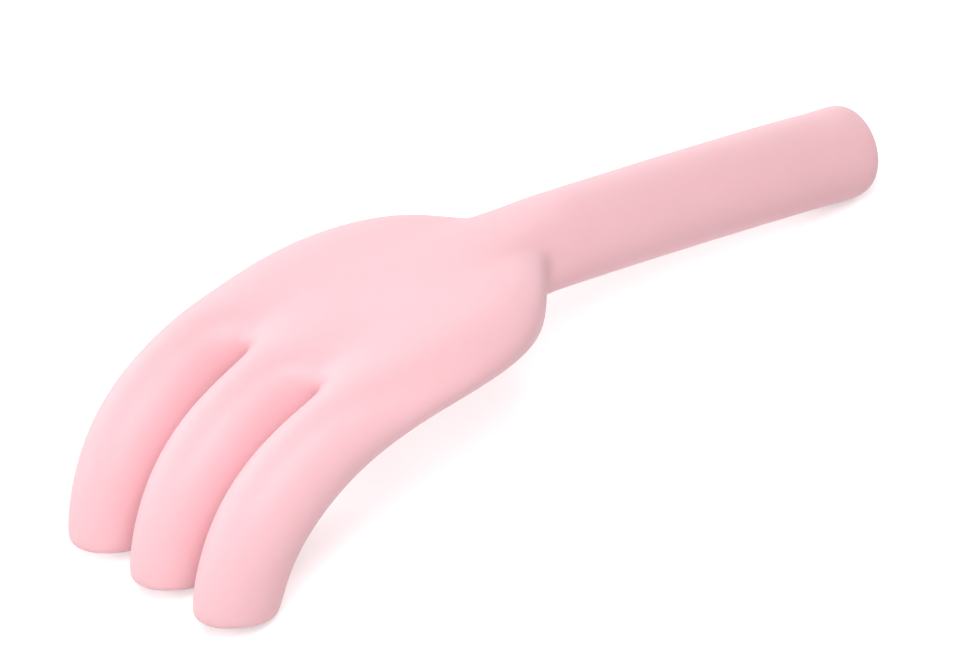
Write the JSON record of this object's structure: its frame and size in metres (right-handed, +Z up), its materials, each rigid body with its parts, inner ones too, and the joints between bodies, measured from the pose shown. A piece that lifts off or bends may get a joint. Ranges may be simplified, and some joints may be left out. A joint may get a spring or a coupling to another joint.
{
  "type": "sand rake",
  "caption": "Child's soft sand rake in one moulded piece: straight round handle, flat rounded palm and thick tines that curl down.",
  "frame": {"origin": "centre of the footprint, on the ground that the tips of the tines and the end of the handle touch", "axes": "+X along the rake towards the end of the handle, +Z up, tines curling down at -X, symmetric about y = 0"},
  "size_m": [0.2438, 0.0858, 0.0505],
  "materials": {
    "silicone": "matte, soft to the touch",
    "insert": "natural polypropylene"
  },
  "bodies": {
    "root": {"silicone_body": "silicone", "stiff_core": "insert"}
  },
  "joints": []
}
